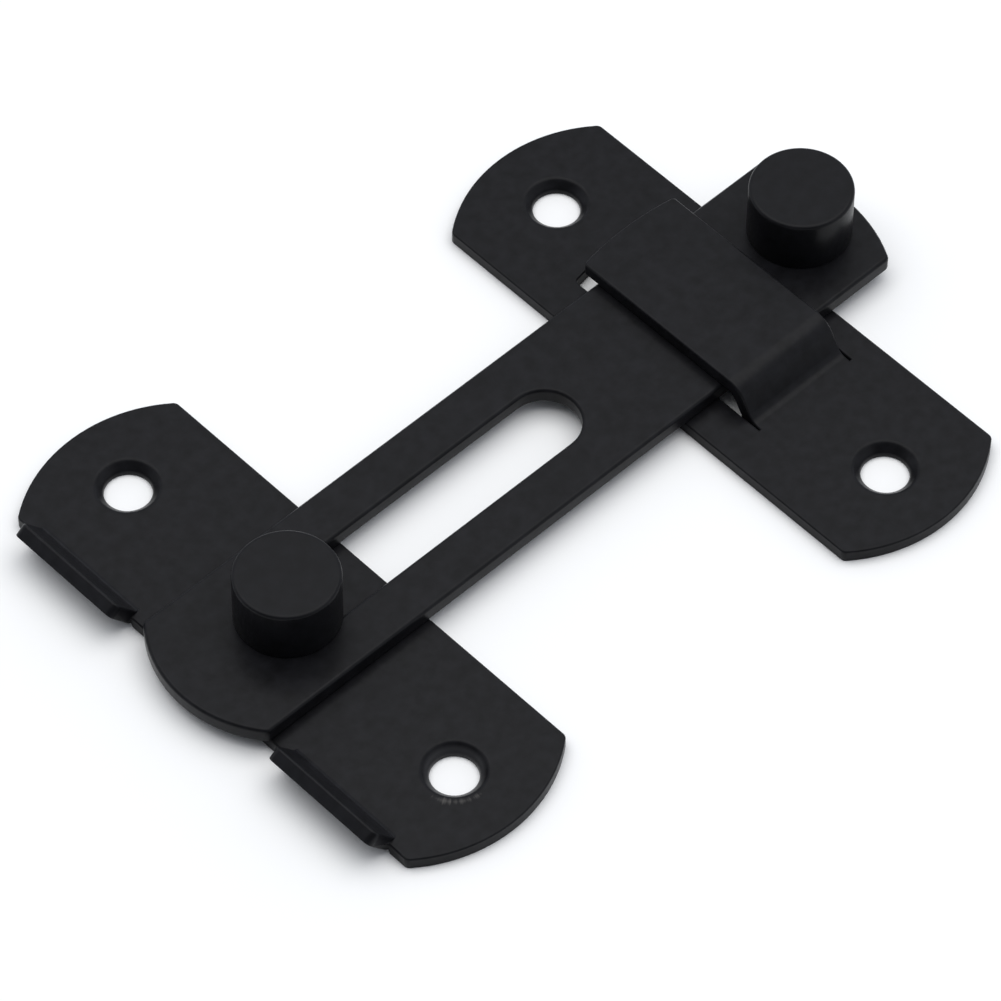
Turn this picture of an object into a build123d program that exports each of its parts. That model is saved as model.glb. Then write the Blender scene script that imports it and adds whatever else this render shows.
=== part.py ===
"""Swing-bar door latch: two screw-on plates, a slotted bar on a pivot knob and a tongue over it.

Frame: the origin is the pivot axis on the base plate's underside, which is also the middle of
that plate's screw holes. +X runs along the closed bar to the keeper, +Y along the plates to the
tongue's open side, and +Z out of the door. Lengths are in millimetres.
"""

import os
from math import cos, radians, sin, sqrt

from build123d import *

os.makedirs("parts", exist_ok=True)

# Sheet stock and the play between moving pieces
sheet_t = 1.5
bar_t = 1.8
play = 0.1
bend_r = 0.8

# Plates: both are cut from one blank with bowed ends
plate_w = 21.5
plate_len = 65.0
end_r = 16.8
corner_r = 0.8
screw_hole_r = 2.5
screw_csk_r = 3.4
screw_pitch = 48.0
keeper_x = 57.2
keeper_y = -3.1

# Bar: its tail is round about the pivot, so that it turns between the lips
bar_w = 18.4
bar_tail_r = 14.4
bar_tip_r = 18.0
slot_w = 7.7
slot_travel = 35.3
tip_over = 6.5

# Stop lips, bent up from the base plate's outer edge on either side of the bar's tail
lip_side_gap = 0.2
lip_tail_gap = 0.6
lip_len = 14.5
lip_deg = 53.0
lip_flat = 3.6
lip_corner_r = 0.8

# Tongue of the keeper, lanced from the plate and stepped up over the bar
tongue_w = 13.0
tongue_shift = 0.8
tongue_over = 2.4
tongue_bow = 0.6
tongue_corner_r = 0.5
tongue_gap = 0.2
tongue_bend_r = 1.3
tongue_draw = 0.8
root_gap = 0.7
ramp_deg = 60.0
slit_w = 0.15
slit_tail = 0.5

# Knobs, with the pivot's bush and the room that the handle has behind the tongue
knob_r = 5.5
knob_h = 6.6
knob_edge = 0.4
handle_gap = 2.0
bush_wall = 1.25
bush_play = 0.05

# Countersunk screws that hold the knobs from below
shank_r = 1.5
head_r = 2.75
shank_play = 0.1
screw_grip = 4.4
screw_tip = 0.4
tip_room = 0.3
recess_w = 0.7
recess_len = 2.6
recess_depth = 0.8

# Levels above the door
bar_z = sheet_t + play
bar_top = bar_z + bar_t
pivot_knob_z = bar_top + play
tongue_z = bar_top + tongue_gap

# Sizes that follow from the ones above
bar_half = bar_w / 2
stud_r = slot_w / 2 - 2 * bush_play - bush_wall
tongue_x = keeper_x + tongue_shift
handle_x = tongue_x + tongue_w / 2 + handle_gap + knob_r
bar_tip = handle_x + tip_over
lip_bend_x = -bar_half - lip_side_gap
lip_start = sqrt(bar_tail_r**2 - lip_bend_x**2) + lip_tail_gap
lip_end = lip_start + lip_len
tongue_end = bar_half + tongue_over
pivot_screw_len = pivot_knob_z + screw_grip
handle_screw_len = bar_t + screw_grip
half_w = plate_w / 2
end_sag = end_r - sqrt(end_r**2 - half_w**2)


def bowed_plate(centre_x, centre_y):
    """Outline of a plate with straight long sides and bowed ends."""
    tip = plate_len / 2
    corner = tip - end_sag
    with BuildSketch() as outline:
        with BuildLine():
            Line((-half_w, -corner), (-half_w, corner))
            ThreePointArc((-half_w, corner), (0, tip), (half_w, corner))
            Line((half_w, corner), (half_w, -corner))
            ThreePointArc((half_w, -corner), (0, -tip), (-half_w, -corner))
        make_face()
        fillet(outline.vertices(), corner_r)
    return Pos(centre_x, centre_y, 0) * outline.sketch


def bowed_strip(start, end, width):
    """Outline on the tongue's middle line that runs along Y and is bowed at its far end."""
    half = width / 2
    with BuildSketch() as outline:
        with BuildLine():
            Polyline((-half, end - tongue_bow), (-half, start), (half, start), (half, end - tongue_bow))
            ThreePointArc((half, end - tongue_bow), (0, end), (-half, end - tongue_bow))
        make_face()
        fillet(outline.vertices().group_by(Axis.Y)[-1], tongue_corner_r)
    return Pos(tongue_x, 0, 0) * outline.sketch


def screw_profile(length):
    """Half section of a countersunk screw that points up, with its head at Z = 0."""
    with BuildSketch(Plane.XZ) as section:
        with BuildLine():
            Polyline(
                (0, 0),
                (head_r, 0),
                (shank_r, head_r - shank_r),
                (shank_r, length - screw_tip),
                (shank_r - screw_tip, length),
                (0, length),
                close=True,
            )
        make_face()
    return section.sketch


def on_circle(centre, radius, angle):
    """Point at an angle that is counted from straight down, towards the first axis."""
    return (centre[0] + radius * sin(angle), centre[1] - radius * cos(angle))


# Base plate: flat blank, two lips bent up and out, two screw holes and the pivot screw's hole
lip_a = radians(lip_deg)
lip_c = (lip_bend_x, sheet_t + bend_r)
lip_dir = (-cos(lip_a) * lip_flat, sin(lip_a) * lip_flat)
lip_in = on_circle(lip_c, bend_r, -lip_a)
lip_out = on_circle(lip_c, bend_r + sheet_t, -lip_a)
lip_in_tip = (lip_in[0] + lip_dir[0], lip_in[1] + lip_dir[1])
lip_out_tip = (lip_out[0] + lip_dir[0], lip_out[1] + lip_dir[1])

with BuildPart() as base_plate:
    extrude(bowed_plate(0, 0), amount=sheet_t)
    for near, far in ((lip_start, lip_end), (-lip_end, -lip_start)):
        with Locations((lip_bend_x, (near + far) / 2, 0)):
            Box(
                plate_w,
                far - near,
                sheet_t,
                align=(Align.MAX, Align.CENTER, Align.MIN),
                mode=Mode.SUBTRACT,
            )
        with BuildSketch(Plane.XZ.offset(-far)) as lip:
            with BuildLine():
                Line((lip_bend_x, 0), (lip_bend_x, sheet_t))
                ThreePointArc((lip_bend_x, sheet_t), on_circle(lip_c, bend_r, -lip_a / 2), lip_in)
                Polyline(lip_in, lip_in_tip, lip_out_tip, lip_out)
                ThreePointArc(lip_out, on_circle(lip_c, bend_r + sheet_t, -lip_a / 2), (lip_bend_x, 0))
            make_face()
        extrude(amount=far - near)
    lip_tips = base_plate.edges().filter_by(lambda edge: edge.center().Z > lip_in[1])
    lip_corners = lip_tips.filter_by(lambda edge: abs(edge.length - sheet_t) < 0.001)
    fillet(lip_corners, lip_corner_r)
    with Locations((0, screw_pitch / 2, sheet_t), (0, -screw_pitch / 2, sheet_t)):
        CounterSinkHole(screw_hole_r, screw_csk_r, counter_sink_angle=90)
    with Locations(Location((0, 0, 0), (180, 0, 0))):
        CounterSinkHole(shank_r + shank_play, head_r, counter_sink_angle=90)
base_plate.part.label = "base_plate"
export_step(base_plate.part, "parts/base_plate.step")

# Pivot knob: the grip stands clear of the bar on a stud that sits on the base plate
with BuildPart() as pivot_knob:
    with Locations((0, 0, pivot_knob_z)):
        Cylinder(knob_r, knob_h, align=(Align.CENTER, Align.CENTER, Align.MIN))
    fillet(pivot_knob.edges().group_by(Axis.Z)[-1], knob_edge)
    with Locations((0, 0, sheet_t)):
        Cylinder(stud_r, pivot_knob_z - sheet_t, align=(Align.CENTER, Align.CENTER, Align.MIN))
        Cylinder(
            shank_r,
            pivot_screw_len + tip_room - sheet_t,
            align=(Align.CENTER, Align.CENTER, Align.MIN),
            mode=Mode.SUBTRACT,
        )
pivot_knob.part.label = "pivot_knob"
export_step(pivot_knob.part, "parts/pivot_knob.step")

# Pivot screw: flush in the base plate's underside and tight in the knob
with BuildPart() as pivot_screw:
    add(screw_profile(pivot_screw_len))
    revolve(axis=Axis.Z)
    with BuildSketch():
        Rectangle(recess_len, recess_w)
        Rectangle(recess_w, recess_len)
    extrude(amount=recess_depth, mode=Mode.SUBTRACT)
pivot_screw.part.label = "pivot_screw"
export_step(pivot_screw.part, "parts/pivot_screw.step")

# Slot bush: turns on the stud and lets the bar slide along its slot
with BuildPart() as slot_bush:
    with BuildSketch(Plane.XY.offset(sheet_t)):
        Circle(slot_w / 2 - bush_play)
        Circle(stud_r + bush_play, mode=Mode.SUBTRACT)
    extrude(amount=bar_t + play)
slot_bush.part.label = "slot_bush"
export_step(slot_bush.part, "parts/slot_bush.step")

# Slide bar: flat strip with round ends, a long slot and the handle screw's hole
tail_corner = -sqrt(bar_tail_r**2 - bar_half**2)
tip_corner = bar_tip - bar_tip_r + sqrt(bar_tip_r**2 - bar_half**2)

with BuildPart() as slide_bar:
    with BuildSketch(Plane.XY.offset(bar_z)) as blank:
        with BuildLine():
            Line((tail_corner, bar_half), (tip_corner, bar_half))
            ThreePointArc((tip_corner, bar_half), (bar_tip, 0), (tip_corner, -bar_half))
            Line((tip_corner, -bar_half), (tail_corner, -bar_half))
            ThreePointArc((tail_corner, -bar_half), (-bar_tail_r, 0), (tail_corner, bar_half))
        make_face()
        fillet(blank.vertices(), corner_r)
        with Locations((slot_travel / 2, 0)):
            SlotCenterToCenter(slot_travel, slot_w, mode=Mode.SUBTRACT)
    extrude(amount=bar_t)
    with Locations(Location((handle_x, 0, bar_z), (180, 0, 0))):
        CounterSinkHole(shank_r + shank_play, head_r, counter_sink_angle=90)
slide_bar.part.label = "slide_bar"
export_step(slide_bar.part, "parts/slide_bar.step")

# Handle knob: the same grip, seated flat on the bar
with BuildPart() as handle_knob:
    with Locations((handle_x, 0, bar_top)):
        Cylinder(knob_r, knob_h, align=(Align.CENTER, Align.CENTER, Align.MIN))
    fillet(handle_knob.edges().group_by(Axis.Z)[-1], knob_edge)
    with Locations((handle_x, 0, bar_top)):
        Cylinder(
            shank_r,
            handle_screw_len + tip_room - bar_t,
            align=(Align.CENTER, Align.CENTER, Align.MIN),
            mode=Mode.SUBTRACT,
        )
handle_knob.part.label = "handle_knob"
export_step(handle_knob.part, "parts/handle_knob.step")

# Handle screw: flush in the bar's underside
with BuildPart() as handle_screw:
    add(Pos(handle_x, 0, bar_z) * screw_profile(handle_screw_len))
    revolve(axis=Axis((handle_x, 0, 0), (0, 0, 1)))
    with BuildSketch(Plane.XY.offset(bar_z)):
        with Locations((handle_x, 0)):
            Rectangle(recess_len, recess_w)
            Rectangle(recess_w, recess_len)
    extrude(amount=recess_depth, mode=Mode.SUBTRACT)
handle_screw.part.label = "handle_screw"
export_step(handle_screw.part, "parts/handle_screw.step")

# Keeper plate: the step follows from the tongue's height. The window has the tongue's flat length,
# less what the press draws out of its bends
ramp_a = radians(ramp_deg)
step_r = 2 * tongue_bend_r + sheet_t
ramp_len = (tongue_z - step_r * (1 - cos(ramp_a))) / sin(ramp_a)
step_len = step_r * sin(ramp_a) + ramp_len * cos(ramp_a)
tongue_root = -bar_half - root_gap - step_len
low_c = (tongue_root, sheet_t + tongue_bend_r)
high_c = (tongue_root + step_len, tongue_z - tongue_bend_r)
low_in = on_circle(low_c, tongue_bend_r, ramp_a)
low_out = on_circle(low_c, tongue_bend_r + sheet_t, ramp_a)
high_in = on_circle(high_c, -tongue_bend_r, ramp_a)
high_out = on_circle(high_c, -tongue_bend_r - sheet_t, ramp_a)
flat_len = step_r * ramp_a + ramp_len + tongue_end - high_c[0]
window_end = tongue_root + flat_len - tongue_draw + slit_w

with BuildPart() as keeper_plate:
    extrude(bowed_plate(keeper_x, keeper_y), amount=sheet_t)
    extrude(bowed_strip(tongue_root, window_end, tongue_w + 2 * slit_w), amount=sheet_t, mode=Mode.SUBTRACT)
    slit_x = (tongue_w + slit_w) / 2
    with Locations((tongue_x - slit_x, tongue_root), (tongue_x + slit_x, tongue_root)):
        Box(slit_w, 2 * slit_tail, 2 * sheet_t, mode=Mode.SUBTRACT)
    with BuildSketch(Plane.YZ.offset(tongue_x - tongue_w / 2)):
        with BuildLine():
            Line((tongue_root, 0), (tongue_root, sheet_t))
            ThreePointArc((tongue_root, sheet_t), on_circle(low_c, tongue_bend_r, ramp_a / 2), low_in)
            Line(low_in, high_out)
            ThreePointArc(
                high_out,
                on_circle(high_c, -tongue_bend_r - sheet_t, ramp_a / 2),
                (high_c[0], tongue_z + sheet_t),
            )
            Polyline(
                (high_c[0], tongue_z + sheet_t),
                (tongue_end, tongue_z + sheet_t),
                (tongue_end, tongue_z),
                (high_c[0], tongue_z),
            )
            ThreePointArc((high_c[0], tongue_z), on_circle(high_c, -tongue_bend_r, ramp_a / 2), high_in)
            Line(high_in, low_out)
            ThreePointArc(low_out, on_circle(low_c, tongue_bend_r + sheet_t, ramp_a / 2), (tongue_root, 0))
        make_face()
    extrude(amount=tongue_w)
    with BuildSketch(Plane.XY.offset(tongue_z)):
        with Locations((tongue_x, tongue_end)):
            Rectangle(2 * tongue_w, 2 * tongue_bow + 4 * tongue_corner_r)
        add(bowed_strip(0, tongue_end, tongue_w), mode=Mode.SUBTRACT)
    extrude(amount=sheet_t, mode=Mode.SUBTRACT)
    hole_y = (keeper_y - screw_pitch / 2, keeper_y + screw_pitch / 2)
    with Locations((keeper_x, hole_y[0], sheet_t), (keeper_x, hole_y[1], sheet_t)):
        CounterSinkHole(screw_hole_r, screw_csk_r, counter_sink_angle=90)
keeper_plate.part.label = "keeper_plate"
export_step(keeper_plate.part, "parts/keeper_plate.step")
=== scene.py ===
"""Black swing-bar door latch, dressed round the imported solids.

The plates and the bar keep the outlines of their solids and get the rolled, coated edges of
pressed steel. The turned knobs come from one node tree. Sizes in the classes are millimetres,
and meshes are in metres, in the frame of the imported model.
"""

import logging
import math
from dataclasses import dataclass, field
from enum import Enum
from typing import Any

import bmesh
import bpy
from mathutils import Matrix, Vector


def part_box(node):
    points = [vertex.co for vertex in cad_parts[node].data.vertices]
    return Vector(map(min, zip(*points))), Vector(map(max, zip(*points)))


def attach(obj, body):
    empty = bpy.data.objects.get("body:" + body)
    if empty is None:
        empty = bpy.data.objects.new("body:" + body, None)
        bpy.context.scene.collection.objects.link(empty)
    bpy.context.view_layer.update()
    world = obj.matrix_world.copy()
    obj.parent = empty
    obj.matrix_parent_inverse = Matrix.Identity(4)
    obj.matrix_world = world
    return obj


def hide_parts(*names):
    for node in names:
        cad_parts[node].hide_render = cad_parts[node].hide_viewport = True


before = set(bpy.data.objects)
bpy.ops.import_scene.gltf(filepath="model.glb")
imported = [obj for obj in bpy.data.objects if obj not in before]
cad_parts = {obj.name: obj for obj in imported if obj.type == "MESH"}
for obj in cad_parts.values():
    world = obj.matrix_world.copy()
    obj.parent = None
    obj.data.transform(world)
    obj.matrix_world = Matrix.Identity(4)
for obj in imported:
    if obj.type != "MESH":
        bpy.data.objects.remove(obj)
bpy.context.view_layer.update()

log = logging.getLogger("latch")

Tree = bpy.types.NodeTree
Socket = bpy.types.NodeSocket

MM = 0.001
# A noise node's values keep between these two nearly everywhere
NOISE_LOW, NOISE_HIGH = 0.3, 0.7
NOISE_SPAN = {"From Min": NOISE_LOW, "From Max": NOISE_HIGH}


class Body(Enum):
    """Moving bodies of the latch."""

    BASE = "base"
    PIVOT = "pivot"
    BAR = "bar"


class Slot(Enum):
    """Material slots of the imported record."""

    COAT = "black_coat"
    KNOB = "black_knob"
    ZINC = "zinc_screw"
    BRASS = "bush_brass"


def linear(hex_colour: str) -> tuple[float, float, float, float]:
    """Turn an sRGB hex colour into linear RGBA.

    Args:
        hex_colour: Colour such as "#1b1b1e".

    Returns:
        Linear red, green, blue and an alpha of 1.
    """
    parts = [int(hex_colour[i : i + 2], 16) / 255 for i in (1, 3, 5)]
    red, green, blue = (p / 12.92 if p <= 0.04045 else ((p + 0.055) / 1.055) ** 2.4 for p in parts)
    return red, green, blue, 1.0


def per_metre(size_mm: float) -> float:
    """Texture scale in object space for a pattern whose features are size_mm wide."""
    return 1.0 / (size_mm * MM)


def feed(tree: Tree, node: bpy.types.Node, inputs: dict[str | int, Any]) -> None:
    """Set or link a node's inputs.

    Args:
        tree: Tree that holds the node.
        node: Node whose inputs are set.
        inputs: A value or an output socket for each input, by its name or place.
    """
    for key, value in inputs.items():
        if isinstance(value, Socket):
            tree.links.new(value, node.inputs[key])
        else:
            node.inputs[key].default_value = value


def add_node(
    tree: Tree, kind: str, inputs: dict[str | int, Any] | None = None, **settings: Any
) -> bpy.types.Node:
    """Add one node with its settings and links.

    Args:
        tree: Tree that gets the node.
        kind: Node type, such as "ShaderNodeTexNoise".
        inputs: A value or an output socket for each input, by its name or place.
        settings: Properties of the node.

    Returns:
        The new node.
    """
    node = tree.nodes.new(kind)
    for name, value in settings.items():
        setattr(node, name, value)
    feed(tree, node, inputs or {})
    return node


def new_surface(name: str) -> tuple[bpy.types.Material, Tree, bpy.types.Node]:
    """Start a material with one principled shader.

    Args:
        name: Name of the material.

    Returns:
        The material, its node tree and its shader.
    """
    material = bpy.data.materials.new(name)
    material.use_nodes = True
    tree = material.node_tree
    tree.nodes.clear()
    shader = add_node(tree, "ShaderNodeBsdfPrincipled")
    add_node(tree, "ShaderNodeOutputMaterial", {"Surface": shader.outputs["BSDF"]})
    return material, tree, shader


@dataclass(frozen=True)
class WornHole:
    """A used screw hole: bare strokes on its rim, and the coat coloured a lighter grey on its wall.
    """

    centre_mm: tuple[float, float] = (0.0, -24.0)
    radius_mm: float = 3.9
    width_mm: float = 1.1
    stroke_mm: float = 0.32
    stroke_detail: float = 3.0
    lowest_mm: float = 1.0
    # Side of the hole that the strokes are on, and the cosines between which they fade out
    facing: tuple[float, float] = (-0.62, -0.785)
    gone: float = 0.62
    whole: float = 0.87
    # Levels of the pattern at which the metal starts to show and shows most
    faint: float = 0.33
    strong: float = 0.6
    bareness: float = 0.22
    bare: str = "#8d8a86"
    bare_rough: float = 0.35
    # The hole's wall is coloured this lighter grey, out to the given radius and fading over the
    # given width
    wall_grey: str = "#2e2e30"
    wall_radius_mm: float = 3.0
    wall_fade_mm: float = 0.15

    def around(self, tree: Tree, coords: Socket) -> tuple[Socket, Socket]:
        """Add the nodes that measure from the hole's axis.

        Args:
            tree: Node tree of the material.
            coords: Object coordinates.

        Returns:
            The distance from the axis, and the direction away from it.
        """
        from_axis = {0: coords, 1: (self.centre_mm[0] * MM, self.centre_mm[1] * MM, 0.0)}
        offset = add_node(tree, "ShaderNodeVectorMath", from_axis, operation="SUBTRACT")
        level = {0: offset.outputs[0], 1: (1.0, 1.0, 0.0)}
        flat = add_node(tree, "ShaderNodeVectorMath", level, operation="MULTIPLY")
        reach = add_node(tree, "ShaderNodeVectorMath", {0: flat.outputs[0]}, operation="LENGTH")
        aim = add_node(tree, "ShaderNodeVectorMath", {0: flat.outputs[0]}, operation="NORMALIZE")
        return reach.outputs["Value"], aim.outputs[0]

    def wall(self, tree: Tree, reach: Socket) -> Socket:
        """Add the node that marks the lighter grey wall.

        Args:
            tree: Node tree of the material.
            reach: Distance from the hole's axis.

        Returns:
            A socket that is 1 on the lighter grey wall and 0 outside it.
        """
        inside = (self.wall_radius_mm - self.wall_fade_mm) * MM
        outside = (self.wall_radius_mm + self.wall_fade_mm) * MM
        limits = {"Value": reach, "From Min": outside, "From Max": inside}
        return add_node(tree, "ShaderNodeMapRange", limits).outputs[0]

    def strokes(self, tree: Tree, coords: Socket, reach: Socket, aim: Socket) -> Socket:
        """Add the nodes that mark the bare strokes.

        Args:
            tree: Node tree of the material.
            coords: Object coordinates.
            reach: Distance from the hole's axis.
            aim: Direction away from the axis.

        Returns:
            A socket with the share of bare metal.
        """
        rim = {0: reach, 1: self.radius_mm * MM}
        away = add_node(tree, "ShaderNodeMath", rim, operation="SUBTRACT")
        off_rim = add_node(tree, "ShaderNodeMath", {0: away.outputs[0]}, operation="ABSOLUTE")
        ring = add_node(
            tree,
            "ShaderNodeMapRange",
            {"Value": off_rim.outputs[0], "From Min": self.width_mm * MM, "From Max": 0.0},
        )
        side = {0: aim, 1: (*self.facing, 0.0)}
        towards = add_node(tree, "ShaderNodeVectorMath", side, operation="DOT_PRODUCT")
        sector = add_node(
            tree,
            "ShaderNodeMapRange",
            {"Value": towards.outputs["Value"], "From Min": self.gone, "From Max": self.whole},
        )
        # Read on the direction alone, the pattern runs out from the hole in short strokes
        scale = self.radius_mm / self.stroke_mm
        look = {"Vector": aim, "Scale": scale, "Detail": self.stroke_detail}
        pattern = add_node(tree, "ShaderNodeTexNoise", look)
        height = add_node(tree, "ShaderNodeSeparateXYZ", {0: coords})
        floor = {0: height.outputs["Z"], 1: self.lowest_mm * MM}
        upper = add_node(tree, "ShaderNodeMath", floor, operation="GREATER_THAN")
        product = pattern.outputs["Fac"]
        for factor in (ring, sector, upper):
            both = {0: product, 1: factor.outputs[0]}
            product = add_node(tree, "ShaderNodeMath", both, operation="MULTIPLY").outputs[0]
        levels = {"From Min": self.faint, "From Max": self.strong, "To Max": self.bareness}
        return add_node(tree, "ShaderNodeMapRange", {"Value": product, **levels}).outputs[0]


@dataclass(frozen=True)
class BlackCoat:
    """Satin black coat, baked on steel: nearly black, with a soft sheen and a fine grain."""

    name: str
    dark: str = "#111113"
    light: str = "#1a1a1d"
    smooth: float = 0.28
    rough: float = 0.36
    specular: float = 0.115
    mottle_mm: float = 1.4
    mottle_detail: float = 4.0
    grain_mm: float = 0.45
    grain_detail: float = 2.0
    grain_depth_mm: float = 0.009
    grain_strength: float = 0.5
    worn: WornHole | None = None

    def material(self) -> bpy.types.Material:
        """Make the material.

        Returns:
            The material, with its patterns in object space.
        """
        material, tree, shader = new_surface(self.name)
        coords = add_node(tree, "ShaderNodeTexCoord").outputs["Object"]
        # Powder melts unevenly, so the tone drifts a little over the sheet
        drift = {"Scale": per_metre(self.mottle_mm), "Detail": self.mottle_detail}
        mottle = add_node(tree, "ShaderNodeTexNoise", {"Vector": coords, **drift}).outputs["Fac"]
        tone = add_node(tree, "ShaderNodeValToRGB", {"Fac": mottle})
        low, high = tone.color_ramp.elements
        low.position, high.position = NOISE_LOW, NOISE_HIGH
        low.color, high.color = linear(self.dark), linear(self.light)
        # Orange peel breaks up the gloss. The real one is finer, and this is as coarse as it needs
        # to be to show
        peel = {"Scale": per_metre(self.grain_mm), "Detail": self.grain_detail}
        grain = add_node(tree, "ShaderNodeTexNoise", {"Vector": coords, **peel}).outputs["Fac"]
        gloss = add_node(
            tree,
            "ShaderNodeMapRange",
            {"Value": grain, **NOISE_SPAN, "To Min": self.smooth, "To Max": self.rough},
        )
        relief = {"Strength": self.grain_strength, "Distance": self.grain_depth_mm * MM}
        bump = add_node(tree, "ShaderNodeBump", {"Height": grain, **relief})
        finish = {
            "Base Color": tone.outputs["Color"],
            "Roughness": gloss.outputs[0],
            "Normal": bump.outputs["Normal"],
            "Specular IOR Level": self.specular,
        }
        if self.worn is not None:
            finish.update(self._wear(tree, coords, finish))
        feed(tree, shader, finish)
        return material

    def _wear(self, tree: Tree, coords: Socket, finish: dict[str, Any]) -> dict[str, Socket]:
        """Add the nodes that show where the coat is lighter grey on the wall, or gone.

        Args:
            tree: Node tree of the material.
            coords: Object coordinates.
            finish: The whole coat's values, by the shader's inputs.

        Returns:
            The worn coat's values for the inputs that change.
        """
        reach, aim = self.worn.around(tree, coords)
        wall = self.worn.wall(tree, reach)
        strokes = self.worn.strokes(tree, coords, reach, aim)
        colour = finish["Base Color"]
        for share, shade in ((wall, self.worn.wall_grey), (strokes, self.worn.bare)):
            blend = {0: share, 6: colour, 7: linear(shade)}
            colour = add_node(tree, "ShaderNodeMix", blend, data_type="RGBA").outputs[2]
        blend = {0: strokes, 2: finish["Roughness"], 3: self.worn.bare_rough}
        roughness = add_node(tree, "ShaderNodeMix", blend).outputs[0]
        return {"Base Color": colour, "Roughness": roughness, "Metallic": strokes}


@dataclass(frozen=True)
class BareMetal:
    """Plated or turned metal: a clear reflection, broken by fine marks of the tool."""

    name: str
    colour: str
    smooth: float = 0.24
    rough: float = 0.4
    mark_mm: float = 0.25
    mark_detail: float = 3.0

    def material(self) -> bpy.types.Material:
        """Make the material.

        Returns:
            The material, with its patterns in object space.
        """
        material, tree, shader = new_surface(self.name)
        coords = add_node(tree, "ShaderNodeTexCoord").outputs["Object"]
        look = {"Scale": per_metre(self.mark_mm), "Detail": self.mark_detail}
        marks = add_node(tree, "ShaderNodeTexNoise", {"Vector": coords, **look}).outputs["Fac"]
        gloss = add_node(
            tree,
            "ShaderNodeMapRange",
            {"Value": marks, **NOISE_SPAN, "To Min": self.smooth, "To Max": self.rough},
        )
        feed(
            tree,
            shader,
            {"Base Color": linear(self.colour), "Metallic": 1.0, "Roughness": gloss.outputs[0]},
        )
        return material


def plain_mesh(piece: bpy.types.Object) -> bpy.types.Object:
    """Turn a piece's modifiers into plain mesh.

    Args:
        piece: Object whose modifiers are all set.

    Returns:
        The same object, with the finished mesh and no modifiers.
    """
    bpy.context.view_layer.update()
    graph = bpy.context.evaluated_depsgraph_get()
    finished = bpy.data.meshes.new_from_object(piece.evaluated_get(graph))
    finished.name = piece.name
    piece.modifiers.clear()
    piece.data = finished
    return piece


def new_piece(name: str, mesh: bpy.types.Mesh) -> bpy.types.Object:
    """Link an object for a mesh, at the origin.

    Args:
        name: Name of the object.
        mesh: Its mesh.

    Returns:
        The new object.
    """
    piece = bpy.data.objects.new(name, mesh)
    bpy.context.scene.collection.objects.link(piece)
    return piece


def hand_over(
    piece: bpy.types.Object,
    material: bpy.types.Material,
    body: Body,
    node: str | None = None,
) -> bpy.types.Object:
    """Give a piece its finish, its body and the solid that it stands for.

    Args:
        piece: Finished piece at the origin.
        material: Its material.
        body: Body that it moves with.
        node: CAD node that it replaces, if it replaces one.

    Returns:
        The piece.
    """
    piece.data.materials.clear()
    piece.data.materials.append(material)
    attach(piece, body.value)
    if node is not None:
        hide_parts(node)
    log.info("%s rides on %s with %d faces", piece.name, body.value, len(piece.data.polygons))
    return piece


@dataclass(frozen=True)
class RolledEdge:
    """Rounding along the sharp edges of a piece, narrower round its underside."""

    width_mm: float = 0.22
    under_share: float = 0.45
    segments: int = 3
    # Edges that turn more than this are rounded, and triangles within the other make one face
    sharp_deg: float = 32.0
    flat_deg: float = 0.4
    merge_mm: float = 0.001
    # Faces whose normal has a lower Z than this are the underside
    underside_z: float = -0.5
    face_weight: int = 100

    def outline(self, node: str, name: str) -> bpy.types.Mesh:
        """Copy a solid's mesh, joined up and with its sharp edges marked.

        Args:
            node: CAD node that is copied.
            name: Name of the mesh.

        Returns:
            The mesh, with a weight on each edge that is to be rounded.
        """
        mesh = bpy.data.meshes.new(name)
        work = bmesh.new()
        work.from_mesh(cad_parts[node].data)
        bmesh.ops.remove_doubles(work, verts=work.verts, dist=self.merge_mm * MM)
        flat, sharp = math.radians(self.flat_deg), math.radians(self.sharp_deg)
        bmesh.ops.dissolve_limit(work, angle_limit=flat, verts=work.verts, edges=work.edges)
        weight = work.edges.layers.float.new("bevel_weight_edge")
        for edge in work.edges:
            if edge.is_manifold and edge.calc_face_angle_signed(0.0) > sharp:
                lowest = min(face.normal.z for face in edge.link_faces)
                edge[weight] = self.under_share if lowest < self.underside_z else 1.0
        for face in work.faces:
            face.smooth = True
        work.to_mesh(mesh)
        work.free()
        if "custom_normal" in mesh.attributes:
            mesh.attributes.remove(mesh.attributes["custom_normal"])
        return mesh

    def copy_of(self, node: str, name: str) -> bpy.types.Object:
        """Make a piece with a solid's outline and rounded edges.

        Args:
            node: CAD node whose outline the piece has.
            name: Name of the piece.

        Returns:
            The piece, as a plain mesh with smooth shading.
        """
        piece = new_piece(name, self.outline(node, name))
        bevel = piece.modifiers.new("rolled edge", "BEVEL")
        bevel.limit_method = "WEIGHT"
        bevel.width = self.width_mm * MM
        bevel.segments = self.segments
        bevel.use_clamp_overlap = False
        bevel.loop_slide = False
        # Large faces keep their normal right up to the rounding, so flat sheet looks flat
        piece.modifiers.new("flat faces", "WEIGHTED_NORMAL").weight = self.face_weight
        plain_mesh(piece)
        # Roundings that meet at the end of a slit would reach past the sheet's face there
        low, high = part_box(node)
        for vertex in piece.data.vertices:
            vertex.co = [min(max(c, a), b) for c, a, b in zip(vertex.co, low, high)]
        return piece


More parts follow.
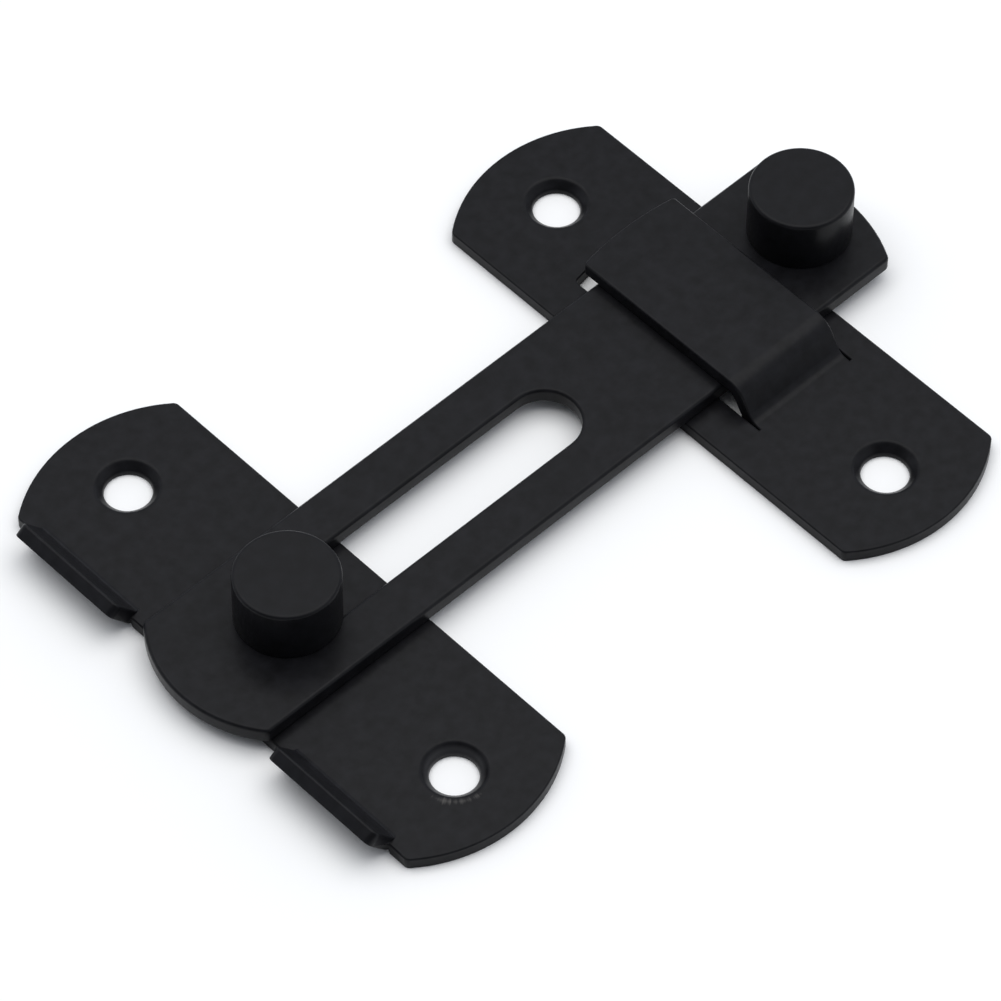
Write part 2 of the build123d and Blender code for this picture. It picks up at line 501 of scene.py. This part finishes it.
class TurnedTree:
    """Node tree for a turned part: a profile with a rounded rim and foot, spun about Z."""

    INPUTS = (
        ("Radius", "NodeSocketFloat"),
        ("Height", "NodeSocketFloat"),
        ("Rim", "NodeSocketFloat"),
        ("Foot", "NodeSocketFloat"),
        ("Segments", "NodeSocketInt"),
        ("Seat", "NodeSocketVector"),
        ("Finish", "NodeSocketMaterial"),
    )
    HOLDING = 0.05 * MM
    ROUNDING_POINTS = 5
    # The section is carried round a circle of this radius, which then closes to a point at each end
    AXIS = 0.005 * MM
    CLOSING = 2.2 * AXIS

    def __init__(self) -> None:
        """Build the tree once, for every turned part."""
        tree = bpy.data.node_groups.new("turned_part", "GeometryNodeTree")
        tree.interface.new_socket("Geometry", in_out="INPUT", socket_type="NodeSocketGeometry")
        self.sockets = {
            name: tree.interface.new_socket(name, in_out="INPUT", socket_type=kind).identifier
            for name, kind in self.INPUTS
        }
        tree.interface.new_socket("Geometry", in_out="OUTPUT", socket_type="NodeSocketGeometry")
        self.tree = tree
        given = add_node(tree, "NodeGroupInput").outputs
        self._spin_up(self._profile(given), given)

    def _profile(self, given: bpy.types.NodeOutputs) -> Socket:
        """Add the nodes for the half section.

        Args:
            given: Sockets of the tree's inputs.

        Returns:
            Socket with the section's curve, from the axis at the foot to the axis at the top.
        """
        tree = self.tree
        radius, height, rim, foot = (given[n] for n in ("Radius", "Height", "Rim", "Foot"))
        # Points just inside the roundings hold the flat faces flat under smooth shading
        inner = []
        for rounding in (foot, rim):
            flat = add_node(tree, "ShaderNodeMath", {0: radius, 1: rounding}, operation="SUBTRACT")
            held = {0: flat.outputs[0], 1: self.HOLDING}
            inner.append(add_node(tree, "ShaderNodeMath", held, operation="SUBTRACT").outputs[0])
        # Each corner has its distance from the axis, its height and its rounding
        section = (
            (0.0, 0.0, 0.0),
            (inner[0], 0.0, 0.0),
            (radius, 0.0, foot),
            (radius, height, rim),
            (inner[1], height, 0.0),
            (0.0, height, 0.0),
        )
        corners = [
            add_node(tree, "ShaderNodeCombineXYZ", {"X": out, "Y": up}).outputs[0]
            for out, up, _ in section
        ]
        roundings = [rounding for _, _, rounding in section]
        index = add_node(tree, "GeometryNodeInputIndex").outputs[0]
        picked = []
        for kind, values in (("VECTOR", corners), ("FLOAT", roundings)):
            pick = add_node(tree, "GeometryNodeIndexSwitch", data_type=kind)
            while len(pick.index_switch_items) < len(values):
                pick.index_switch_items.new()
            feed(tree, pick, {"Index": index, **dict(enumerate(values, start=1))})
            picked.append(pick.outputs[0])
        line = add_node(tree, "GeometryNodeMeshLine", {"Count": len(section)})
        placed = add_node(
            tree, "GeometryNodeSetPosition", {"Geometry": line.outputs[0], "Position": picked[0]}
        )
        curve = add_node(tree, "GeometryNodeMeshToCurve", {"Mesh": placed.outputs[0]})
        rounded = add_node(
            tree,
            "GeometryNodeFilletCurve",
            {"Curve": curve.outputs[0], "Radius": picked[1], "Count": self.ROUNDING_POINTS},
            mode="POLY",
        )
        return rounded.outputs[0]

    def _spin_up(self, section: Socket, given: bpy.types.NodeOutputs) -> None:
        """Add the nodes that spin the section, seat the part and end the tree.

        Args:
            section: Socket with the half section's curve.
            given: Sockets of the tree's inputs.
        """
        tree = self.tree
        circle = {"Resolution": given["Segments"], "Radius": self.AXIS}
        axis = add_node(tree, "GeometryNodeCurvePrimitiveCircle", circle).outputs[0]
        spun = add_node(tree, "GeometryNodeCurveToMesh", {"Curve": axis, "Profile Curve": section})
        joined = {"Geometry": spun.outputs[0], "Distance": self.CLOSING}
        closed = add_node(tree, "GeometryNodeMergeByDistance", joined)
        smooth = add_node(tree, "GeometryNodeSetShadeSmooth", {"Geometry": closed.outputs[0]})
        # The section is swept hanging down, so the part is turned over before it is seated
        place = {"Translation": given["Seat"], "Rotation": (math.pi, 0.0, 0.0)}
        seated = add_node(tree, "GeometryNodeTransform", {"Geometry": smooth.outputs[0], **place})
        real = add_node(tree, "GeometryNodeRealizeInstances", {"Geometry": seated.outputs[0]})
        coated = {"Geometry": real.outputs[0], "Material": given["Finish"]}
        finished = add_node(tree, "GeometryNodeSetMaterial", coated)
        add_node(tree, "NodeGroupOutput", {0: finished.outputs[0]})

    def spin(self, name: str, sizes: dict[str, Any]) -> bpy.types.Object:
        """Make one turned part.

        Args:
            name: Name of the piece.
            sizes: A value for each input of the tree, in metres.

        Returns:
            The piece, as a plain mesh.
        """
        piece = new_piece(name, bpy.data.meshes.new(name))
        modifier = piece.modifiers.new("turned", "NODES")
        modifier.node_group = self.tree
        for key, value in sizes.items():
            modifier[self.sockets[key]] = value
        return plain_mesh(piece)


@dataclass
class PressedPart:
    """A piece pressed from sheet: its solid's outline with rolled edges and a coat."""

    node: str
    name: str
    body: Body
    coat: BlackCoat
    edge: RolledEdge = RolledEdge()

    def build(self) -> bpy.types.Object:
        """Make the piece, with its edges rounded."""
        return self.edge.copy_of(self.node, self.name)

    def dress(self) -> bpy.types.Object:
        """Build the piece and coat it."""
        return hand_over(self.build(), self.coat.material(), self.body, self.node)


@dataclass
class Knob:
    """Plain turned knob, and the stud under it where it has one."""

    node: str
    name: str
    body: Body
    height_mm: float = 6.6
    rim_mm: float = 0.4
    foot_mm: float = 0.15
    stud_radius_mm: float = 2.5
    shortest_stud_mm: float = 0.5
    segments: int = 144

    def build(self, tree: TurnedTree, material: bpy.types.Material) -> list[bpy.types.Object]:
        """Make the knob, and its stud where the solid reaches below the grip.

        Args:
            tree: Node tree for turned parts.
            material: Finish of the knob.

        Returns:
            The pieces, the knob first.
        """
        low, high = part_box(self.node)
        seat = Vector(((low.x + high.x) / 2, (low.y + high.y) / 2, high.z - self.height_mm * MM))
        sizes = {
            "Radius": (high.x - low.x) / 2,
            "Height": self.height_mm * MM,
            "Rim": self.rim_mm * MM,
            "Foot": self.foot_mm * MM,
            "Segments": self.segments,
            "Seat": seat,
            "Finish": material,
        }
        pieces = [tree.spin(self.name, sizes)]
        stud = seat.z - low.z
        if stud > self.shortest_stud_mm * MM:
            sizes.update(
                {
                    "Radius": self.stud_radius_mm * MM,
                    "Height": stud,
                    "Rim": self.foot_mm * MM,
                    "Seat": Vector((seat.x, seat.y, low.z)),
                }
            )
            pieces.append(tree.spin(self.name + "_stud", sizes))
        return pieces

    def dress(self, tree: TurnedTree, material: bpy.types.Material) -> None:
        """Build the knob and coat it.

        Args:
            tree: Node tree for turned parts.
            material: Finish of the knob.
        """
        knob, *rest = self.build(tree, material)
        hand_over(knob, material, self.body, self.node)
        for stud in rest:
            hand_over(stud, material, self.body)


@dataclass
class Fitting:
    """A small bare metal piece between or under the others."""

    node: str
    name: str
    body: Body
    slot: Slot
    metal: BareMetal
    edge: RolledEdge = RolledEdge(width_mm=0.06, under_share=1.0)

    def build(self) -> bpy.types.Object:
        """Make the piece, with its edges broken."""
        return self.edge.copy_of(self.node, self.name)

    def dress(self) -> bpy.types.Object:
        """Build the piece and give it its metal."""
        return hand_over(self.build(), self.metal.material(), self.body, self.node)


@dataclass(frozen=True)
class PhotoCamera:
    """Camera at the angle from which the object is shown, with a long lens."""

    aim_mm: tuple[float, float, float] = (28.23, -0.98, -2.72)
    distance_mm: float = 661.0
    azimuth_deg: float = -43.94
    elevation_deg: float = 52.85
    roll_deg: float = 0.34
    lens_mm: float = 233.8
    nearest: float = 0.01
    farthest: float = 20.0

    def build(self) -> bpy.types.Object:
        """Make the scene's camera.

        Returns:
            The camera object.
        """
        angles = (self.azimuth_deg, self.elevation_deg, self.roll_deg)
        turn, rise, roll = (math.radians(angle) for angle in angles)
        flat = math.cos(rise)
        back = Vector((math.sin(turn) * flat, -math.cos(turn) * flat, math.sin(rise)))
        level = Vector((math.cos(turn), math.sin(turn), 0.0))
        upright = back.cross(level)
        right = level * math.cos(roll) + upright * math.sin(roll)
        data = bpy.data.cameras.new("photo_camera")
        data.lens = self.lens_mm
        data.clip_start, data.clip_end = self.nearest, self.farthest
        camera = bpy.data.objects.new("photo_camera", data)
        place = (Vector(self.aim_mm) + back * self.distance_mm) * MM
        turned = Matrix((right, back.cross(right), back)).transposed()
        camera.matrix_world = Matrix.Translation(place) @ turned.to_4x4()
        bpy.context.scene.collection.objects.link(camera)
        bpy.context.scene.camera = camera
        return camera


@dataclass(frozen=True)
class Softbox:
    """Soft light that points at the object, with its depth along its own bearing, in metres."""

    name: str
    place: tuple[float, float, float]
    width: float
    depth: float
    power: float
    colour: str = "#ffffff"
    aim: tuple[float, float, float] = (0.03, 0.0, 0.0)

    def build(self) -> bpy.types.Object:
        """Make the light.

        Returns:
            The light object.
        """
        data = bpy.data.lights.new(self.name, "AREA")
        data.shape = "RECTANGLE"
        data.size, data.size_y = self.width, self.depth
        data.energy = self.power
        data.color = linear(self.colour)[:3]
        lamp = bpy.data.objects.new(self.name, data)
        lamp.location = self.place
        lamp.rotation_mode = "QUATERNION"
        lamp.rotation_quaternion = (Vector(self.aim) - lamp.location).to_track_quat("-Z", "Y")
        bpy.context.scene.collection.objects.link(lamp)
        return lamp


@dataclass(frozen=True)
class Studio:
    """White paper floor, a surround that is dimmer where the viewer stands, and a soft lamp."""

    paper: str = "#ffffff"
    paper_rough: float = 0.95
    paper_specular: float = 0.1
    floor_half: float = 3.0
    floor_drop_mm: float = 0.02
    surround: str = "#f2f7ff"
    surround_level: float = 0.82
    # Side of the viewer, the level there, and the cosines between which the surround dims
    viewer_side: tuple[float, float, float] = (-0.85, -0.52, 0.0)
    viewer_level: float = 0.1
    dim_from: float = 0.25
    dim_to: float = 0.58
    lamp: Softbox = Softbox("overhead_softbox", (0.17, 0.165, 1.15), 1.8, 1.15, 9.6, "#fffdf9")

    def build(self) -> None:
        """Make the floor, the surround and the lamp."""
        self._floor()
        self._surround()
        self.lamp.build()

    def _floor(self) -> None:
        """Lay the paper just under the plates."""
        half, level = self.floor_half, -self.floor_drop_mm * MM
        corners = [(x * half, y * half, level) for x, y in ((-1, -1), (1, -1), (1, 1), (-1, 1))]
        mesh = bpy.data.meshes.new("paper_floor")
        mesh.from_pydata(corners, [], [(0, 1, 2, 3)])
        # Uncoated white paper, so it shows soft shadows and no gloss
        material, tree, shader = new_surface("matt_white_paper")
        feed(
            tree,
            shader,
            {
                "Base Color": linear(self.paper),
                "Roughness": self.paper_rough,
                "Specular IOR Level": self.paper_specular,
            },
        )
        mesh.materials.append(material)
        floor = new_piece("paper_floor", mesh)

    def _surround(self) -> None:
        """Make the world's light."""
        world = bpy.data.worlds.new("studio")
        world.use_nodes = True
        tree = world.node_tree
        tree.nodes.clear()
        direction = add_node(tree, "ShaderNodeTexCoord").outputs["Generated"]
        side = {0: direction, 1: self.viewer_side}
        facing = add_node(tree, "ShaderNodeVectorMath", side, operation="DOT_PRODUCT")
        level = add_node(
            tree,
            "ShaderNodeMapRange",
            {
                "Value": facing.outputs["Value"],
                "From Min": self.dim_from,
                "From Max": self.dim_to,
                "To Min": self.surround_level,
                "To Max": self.viewer_level,
            },
        )
        light = {"Color": linear(self.surround), "Strength": level.outputs[0]}
        glow = add_node(tree, "ShaderNodeBackground", light)
        add_node(tree, "ShaderNodeOutputWorld", {"Surface": glow.outputs[0]})
        bpy.context.scene.world = world


@dataclass
class Latch:
    """The whole latch, as its pieces."""

    # Powder baked on pressed sheet gives an even black with a soft sheen
    coat: BlackCoat = BlackCoat("black_powder_coat_on_pressed_steel")
    # The same coat, with grey metal coming through at the hole that was used
    worn_coat: BlackCoat = BlackCoat("black_powder_coat_worn_at_one_hole", worn=WornHole())
    # Turned steel takes the coat more evenly, so it has a finer grain and less drift of tone
    knob_coat: BlackCoat = BlackCoat(
        "black_coat_on_turned_steel",
        dark="#121214",
        light="#17171a",
        grain_mm=0.35,
        grain_depth_mm=0.006,
    )
    # Plating gives the screws a pale blue-grey shine
    zinc: BareMetal = BareMetal("zinc_plated_steel", "#b9bcc0")
    # Bare brass is warm yellow, with fine marks from the lathe
    brass: BareMetal = BareMetal("turned_brass", "#b8924e", mark_mm=0.2)
    bar_edge: RolledEdge = RolledEdge(width_mm=0.4)
    knobs: tuple[Knob, ...] = field(
        default_factory=lambda: (
            Knob("pivot_knob", "pivot_grip", Body.BASE),
            Knob("handle_knob", "handle_grip", Body.BAR),
        )
    )

    def build(self) -> None:
        """Make every piece, in the order of assembly."""
        for part in (
            PressedPart("base_plate", "lipped_base_plate", Body.BASE, self.worn_coat),
            PressedPart("keeper_plate", "tongued_keeper_plate", Body.BASE, self.coat),
            PressedPart("slide_bar", "slotted_bar", Body.BAR, self.coat, self.bar_edge),
        ):
            part.dress()
        tree, material = TurnedTree(), self.knob_coat.material()
        for knob in self.knobs:
            knob.dress(tree, material)
        for fitting in (
            Fitting("slot_bush", "guide_bush", Body.PIVOT, Slot.BRASS, self.brass),
            Fitting("pivot_screw", "pivot_fixing_screw", Body.BASE, Slot.ZINC, self.zinc),
            Fitting("handle_screw", "handle_fixing_screw", Body.BAR, Slot.ZINC, self.zinc),
        ):
            fitting.dress()


def main() -> None:
    """Build the latch, the studio and the camera."""
    logging.basicConfig(level=logging.INFO)
    bpy.context.scene.view_settings.view_transform = "Standard"
    Latch().build()
    Studio().build()
    PhotoCamera().build()


if __name__ == "__main__":
    main()
